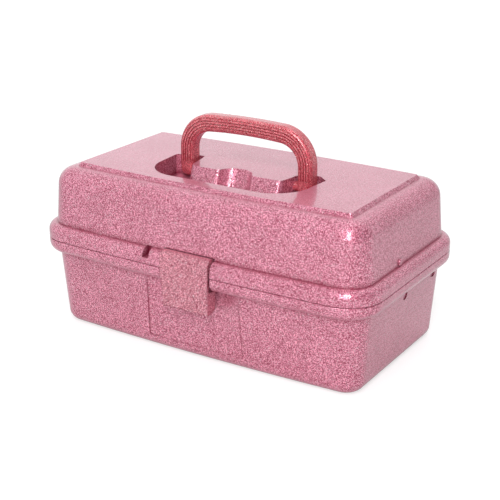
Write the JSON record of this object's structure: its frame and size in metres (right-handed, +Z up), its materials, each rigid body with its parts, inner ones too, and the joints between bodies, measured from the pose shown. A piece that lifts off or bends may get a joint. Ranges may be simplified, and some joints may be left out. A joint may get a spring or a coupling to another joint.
{
  "type": "makeup storage case",
  "caption": "Lidded carry case with a swing handle in a well, a front clasp and stepped trays on swing arms.",
  "frame": {"origin": "middle of the flat underside", "axes": "+X along the length to the right as seen from the clasp, +Y to the back, +Z up"},
  "size_m": [0.32, 0.1964, 0.1873],
  "materials": {
    "glitter_shell": "glossy pink plastic filled with fine glitter",
    "handle_red": "glossy coral red plastic with glitter",
    "tray_pink": "glossy pink plastic",
    "arm_pink": "glossy pink plastic",
    "pin_steel": "drawn steel wire"
  },
  "bodies": {
    "base": {"base_tub": "glitter_shell", "hinge_pin_left": "pin_steel", "hinge_pin_right": "pin_steel"},
    "lid": {"lid_shell": "glitter_shell", "latch_pin": "pin_steel", "lid_tray_pin_left": "glitter_shell", "lid_tray_pin_right": "glitter_shell"},
    "latch": {"latch_clasp": "glitter_shell"},
    "handle": {"handle_bail": "handle_red"},
    "rear_arms": {"rear_arm_left": "arm_pink", "rear_arm_right": "arm_pink", "rear_arm_base_pin_left": "arm_pink", "rear_arm_base_pin_right": "arm_pink", "rear_arm_middle_pin_left": "arm_pink", "rear_arm_middle_pin_right": "arm_pink", "rear_arm_end_pin_left": "arm_pink", "rear_arm_end_pin_right": "arm_pink"},
    "front_arms": {"front_arm_left": "arm_pink", "front_arm_right": "arm_pink", "front_arm_base_pin_left": "arm_pink", "front_arm_base_pin_right": "arm_pink", "front_arm_end_pin_left": "arm_pink", "front_arm_end_pin_right": "arm_pink"},
    "lower_tray": {"lower_tray": "tray_pink"},
    "upper_tray": {"upper_tray": "tray_pink"}
  },
  "joints": [
    {"name": "lid_hinge", "type": "hinge", "parent": "base", "child": "lid", "pos_m": [0, 0.0975, 0.079], "axis": [-1, 0, 0], "range_deg": [0, 100]},
    {"name": "latch_flip", "type": "hinge", "parent": "lid", "child": "latch", "pos_m": [0, -0.0879, 0.0895], "axis": [-1, 0, 0], "range_deg": [0, 110]},
    {"name": "handle_swing", "type": "hinge", "parent": "lid", "child": "handle", "pos_m": [0, 0.002, 0.136], "axis": [1, 0, 0], "range_deg": [0, 90]},
    {"name": "rear_arm_swing", "type": "hinge", "parent": "base", "child": "rear_arms", "pos_m": [0, 0.053, 0.0628], "axis": [-1, 0, 0], "range_deg": [0, 100]},
    {"name": "front_arm_swing", "type": "hinge", "parent": "base", "child": "front_arms", "pos_m": [0, 0.0003, 0.062], "axis": [-1, 0, 0], "range_deg": [0, 100]},
    {"name": "lower_tray_level", "type": "hinge", "parent": "rear_arms", "child": "lower_tray", "pos_m": [0, -0.004, 0.0713], "axis": [-1, 0, 0], "range_deg": [-100, 0]},
    {"name": "upper_tray_level", "type": "hinge", "parent": "rear_arms", "child": "upper_tray", "pos_m": [0, -0.061, 0.0798], "axis": [-1, 0, 0], "range_deg": [-100, 0]}
  ],
  "couplings": [
    {"joint": "rear_arm_swing", "follows": "lid_hinge", "ratio": 1},
    {"joint": "front_arm_swing", "follows": "lid_hinge", "ratio": 1},
    {"joint": "lower_tray_level", "follows": "lid_hinge", "ratio": -1},
    {"joint": "upper_tray_level", "follows": "lid_hinge", "ratio": -1}
  ]
}
